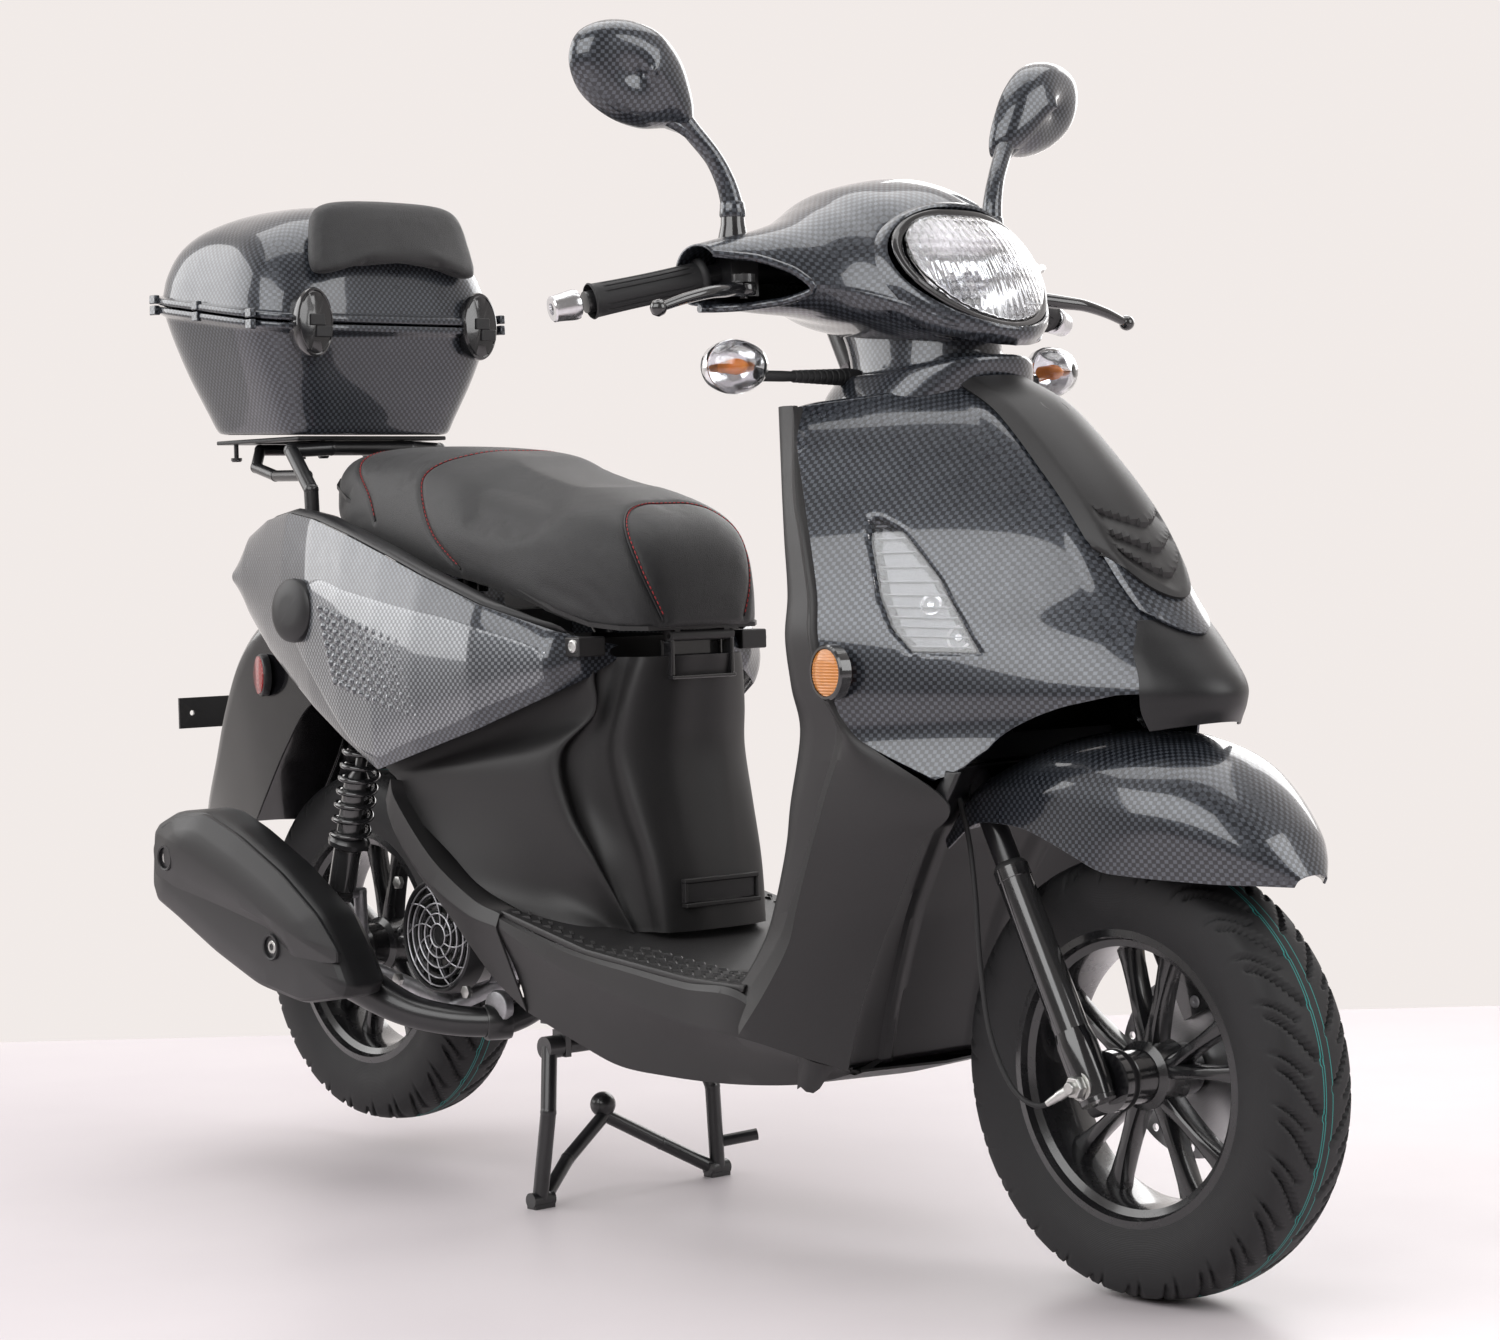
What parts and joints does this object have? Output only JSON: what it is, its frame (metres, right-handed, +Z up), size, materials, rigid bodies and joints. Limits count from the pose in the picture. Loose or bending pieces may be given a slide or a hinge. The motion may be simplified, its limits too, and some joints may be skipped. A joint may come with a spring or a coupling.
{
  "type": "moped scooter",
  "caption": "Step-through moped scooter with top case, windproof leg shield, centre stand, twin rear shocks and carbon-look body panels.",
  "frame": {"origin": "centre of the bounding box on the ground plane", "axes": "+X forward, +Y to the rider's left, +Z up"},
  "size_m": [1.833, 0.7392, 1.2648],
  "materials": {
    "black_steel": "semi-gloss black paint",
    "carbon_gloss": "glossy carbon-weave pattern under clear coat",
    "matte_black": "fine-grained moulded black",
    "gloss_black": "polished black",
    "clear_lens": "clear polished",
    "red_lens": "red prismatic lens",
    "amber_lens": "amber prismatic lens",
    "rubber_black": "moulded ribs",
    "gloss_metal": "gloss black enamel",
    "tyre_rubber": "new rubber with tread",
    "bright_steel": "plain steel",
    "cast_alloy": "as-cast aluminium",
    "seat_vinyl": "grained black vinyl with red stitching",
    "pad_rubber": "soft black foam skin"
  },
  "bodies": {
    "frame": {"main_frame": "black_steel", "rear_frame": "black_steel", "front_panel": "carbon_gloss", "panel_insert": "matte_black", "neck_cowl": "carbon_gloss", "marker_lamps": "clear_lens", "leg_shield": "matte_black", "lower_fairing": "matte_black", "wheel_liner": "gloss_black", "floorboard": "matte_black", "seat_box_cover": "matte_black", "side_panel_left": "carbon_gloss", "side_panel_right": "carbon_gloss", "tail_lamp": "red_lens", "rear_fender": "matte_black", "plate_bracket": "black_steel", "side_reflectors": "amber_lens", "rear_rack": "black_steel", "case_base": "carbon_gloss", "turn_signals": "clear_lens", "storage_bucket": "matte_black", "fuel_tank": "black_steel"},
    "steering": {"steering_stem": "black_steel", "handlebar": "black_steel", "nacelle": "carbon_gloss", "headlight": "clear_lens", "front_fender": "carbon_gloss", "left_grip": "rubber_black"},
    "fork_lower": {"fork_lowers": "gloss_metal", "speedo_cable": "rubber_black"},
    "front_wheel": {"front_rim": "gloss_metal", "front_tyre": "tyre_rubber", "brake_disc": "bright_steel"},
    "throttle": {"throttle_grip": "rubber_black"},
    "lever_right": {"brake_lever_right": "gloss_metal"},
    "lever_left": {"brake_lever_left": "gloss_metal"},
    "mirror_r": {"mirror_right": "carbon_gloss"},
    "mirror_l": {"mirror_left": "carbon_gloss"},
    "starter": {"starter_button": "gloss_black"},
    "horn": {"horn_button": "gloss_black"},
    "turn": {"turn_switch": "gloss_black"},
    "beam": {"beam_switch": "gloss_black"},
    "key": {"ignition_key": "bright_steel"},
    "power_unit": {"crankcase": "cast_alloy", "fan_cover": "gloss_black", "muffler": "black_steel"},
    "fan": {"cooling_fan": "bright_steel"},
    "kick": {"kick_lever": "bright_steel"},
    "rear_wheel": {"rear_rim": "gloss_metal", "rear_tyre": "tyre_rubber"},
    "shock_upper": {"shock_uppers": "bright_steel", "shock_springs": "gloss_metal"},
    "shock_lower": {"shock_lowers": "gloss_metal"},
    "stand": {"centre_stand": "black_steel"},
    "seat": {"seat_pan": "matte_black", "seat_cushion": "seat_vinyl"},
    "lid": {"case_lid": "carbon_gloss", "case_backrest": "pad_rubber"},
    "latch": {"case_latch": "gloss_black"},
    "cap": {"fuel_cap": "gloss_black"}
  },
  "joints": [
    {"name": "steering_turn", "type": "hinge", "parent": "frame", "child": "steering", "pos_m": [0.66433, 0, 0.2185], "axis": [-0.454, 0, 0.891], "range_deg": [-36, 36]},
    {"name": "fork_travel", "type": "slide", "parent": "steering", "child": "fork_lower", "axis": [-0.454, 0, 0.891], "range_m": [0, 0.05], "stiffness_N_per_m": 6000, "springref_m": -0.1, "deforming": ["speedo_cable"]},
    {"name": "front_wheel_spin", "type": "hinge", "parent": "fork_lower", "child": "front_wheel", "pos_m": [0.698, 0, 0.2185], "axis": [0, 1, 0], "continuous": true},
    {"name": "throttle_twist", "type": "hinge", "parent": "steering", "child": "throttle", "pos_m": [0.2957, -0.21, 1.0158], "axis": [0.2941, 0.9355, 0.1958], "range_deg": [0, 75], "stiffness_Nm_per_rad": 0.3, "springref_deg": -28.65},
    {"name": "brake_lever_right_pull", "type": "hinge", "parent": "steering", "child": "lever_right", "pos_m": [0.352, -0.205, 1], "axis": [0, 0, 1], "range_deg": [0, 14], "stiffness_Nm_per_rad": 2, "springref_deg": -5.73},
    {"name": "brake_lever_left_pull", "type": "hinge", "parent": "steering", "child": "lever_left", "pos_m": [0.352, 0.205, 1], "axis": [0, 0, 1], "range_deg": [-14, 0], "stiffness_Nm_per_rad": 2, "springref_deg": 5.73},
    {"name": "mirror_right_turn", "type": "hinge", "parent": "steering", "child": "mirror_r", "pos_m": [0.316, -0.186, 1.062], "axis": [0, 0, 1], "range_deg": [-25, 25]},
    {"name": "mirror_left_turn", "type": "hinge", "parent": "steering", "child": "mirror_l", "pos_m": [0.316, 0.186, 1.062], "axis": [0, 0, 1], "range_deg": [-25, 25]},
    {"name": "rear_swing", "type": "hinge", "parent": "frame", "child": "power_unit", "pos_m": [-0.15, 0, 0.215], "axis": [0, 1, 0], "range_deg": [0, 7], "stiffness_Nm_per_rad": 300, "springref_deg": -17.19},
    {"name": "rear_wheel_spin", "type": "hinge", "parent": "power_unit", "child": "rear_wheel", "pos_m": [-0.581, 0, 0.255], "axis": [0, 1, 0], "continuous": true},
    {"name": "fan_spin", "type": "hinge", "parent": "power_unit", "child": "fan", "pos_m": [-0.33, 0, 0.292], "axis": [0, 1, 0], "continuous": true},
    {"name": "kick_start", "type": "hinge", "parent": "power_unit", "child": "kick", "pos_m": [-0.33, 0, 0.292], "axis": [0, 1, 0], "range_deg": [-50, 0], "stiffness_Nm_per_rad": 3, "springref_deg": 11.46},
    {"name": "shock_upper_tilt", "type": "hinge", "parent": "frame", "child": "shock_upper", "pos_m": [-0.416, 0, 0.6], "axis": [0, 1, 0], "range_deg": [-7, 7], "deforming": ["shock_springs"]},
    {"name": "shock_lower_tilt", "type": "hinge", "parent": "power_unit", "child": "shock_lower", "pos_m": [-0.5, 0, 0.332], "axis": [0, 1, 0], "range_deg": [-14, 14]},
    {"name": "stand_fold", "type": "hinge", "parent": "frame", "child": "stand", "pos_m": [-0.13, 0, 0.178], "axis": [0, 1, 0], "range_deg": [0, 72], "stiffness_Nm_per_rad": 4, "springref_deg": -17.19},
    {"name": "seat_open", "type": "hinge", "parent": "frame", "child": "seat", "pos_m": [0.03, 0, 0.644], "axis": [0, 1, 0], "range_deg": [0, 65]},
    {"name": "lid_open", "type": "hinge", "parent": "frame", "child": "lid", "pos_m": [-0.524, 0, 1.029], "axis": [0, 1, 0], "range_deg": [0, 75]},
    {"name": "latch_lift", "type": "hinge", "parent": "lid", "child": "latch", "pos_m": [-0.872, 0, 1.088], "axis": [0, 1, 0], "range_deg": [0, 30], "stiffness_Nm_per_rad": 0.3, "springref_deg": -5.73},
    {"name": "key_turn", "type": "hinge", "parent": "frame", "child": "key", "pos_m": [0.243, 0.036, 0.743], "axis": [-0.9848, 0, 0.1736], "range_deg": [0, 60]},
    {"name": "starter_press", "type": "slide", "parent": "steering", "child": "starter", "axis": [1, 0, 0], "range_m": [0, 0.003], "stiffness_N_per_m": 300, "springref_m": -0.001},
    {"name": "horn_press", "type": "slide", "parent": "steering", "child": "horn", "axis": [1, 0, 0], "range_m": [0, 0.003], "stiffness_N_per_m": 300, "springref_m": -0.001},
    {"name": "turn_signal_slide", "type": "slide", "parent": "steering", "child": "turn", "axis": [0, 1, 0], "range_m": [-0.004, 0.004]},
    {"name": "beam_slide", "type": "slide", "parent": "steering", "child": "beam", "axis": [0, 1, 0], "range_m": [0, 0.005]},
    {"name": "fuel_cap_turn", "type": "hinge", "parent": "frame", "child": "cap", "pos_m": [-0.41, 0, 0.694], "axis": [0, 0, 1], "range_deg": [0, 90]}
  ],
  "couplings": [
    {"joint": "shock_upper_tilt", "follows": "rear_swing", "ratio": -0.1248},
    {"joint": "shock_lower_tilt", "follows": "rear_swing", "ratio": -1.1248}
  ]
}
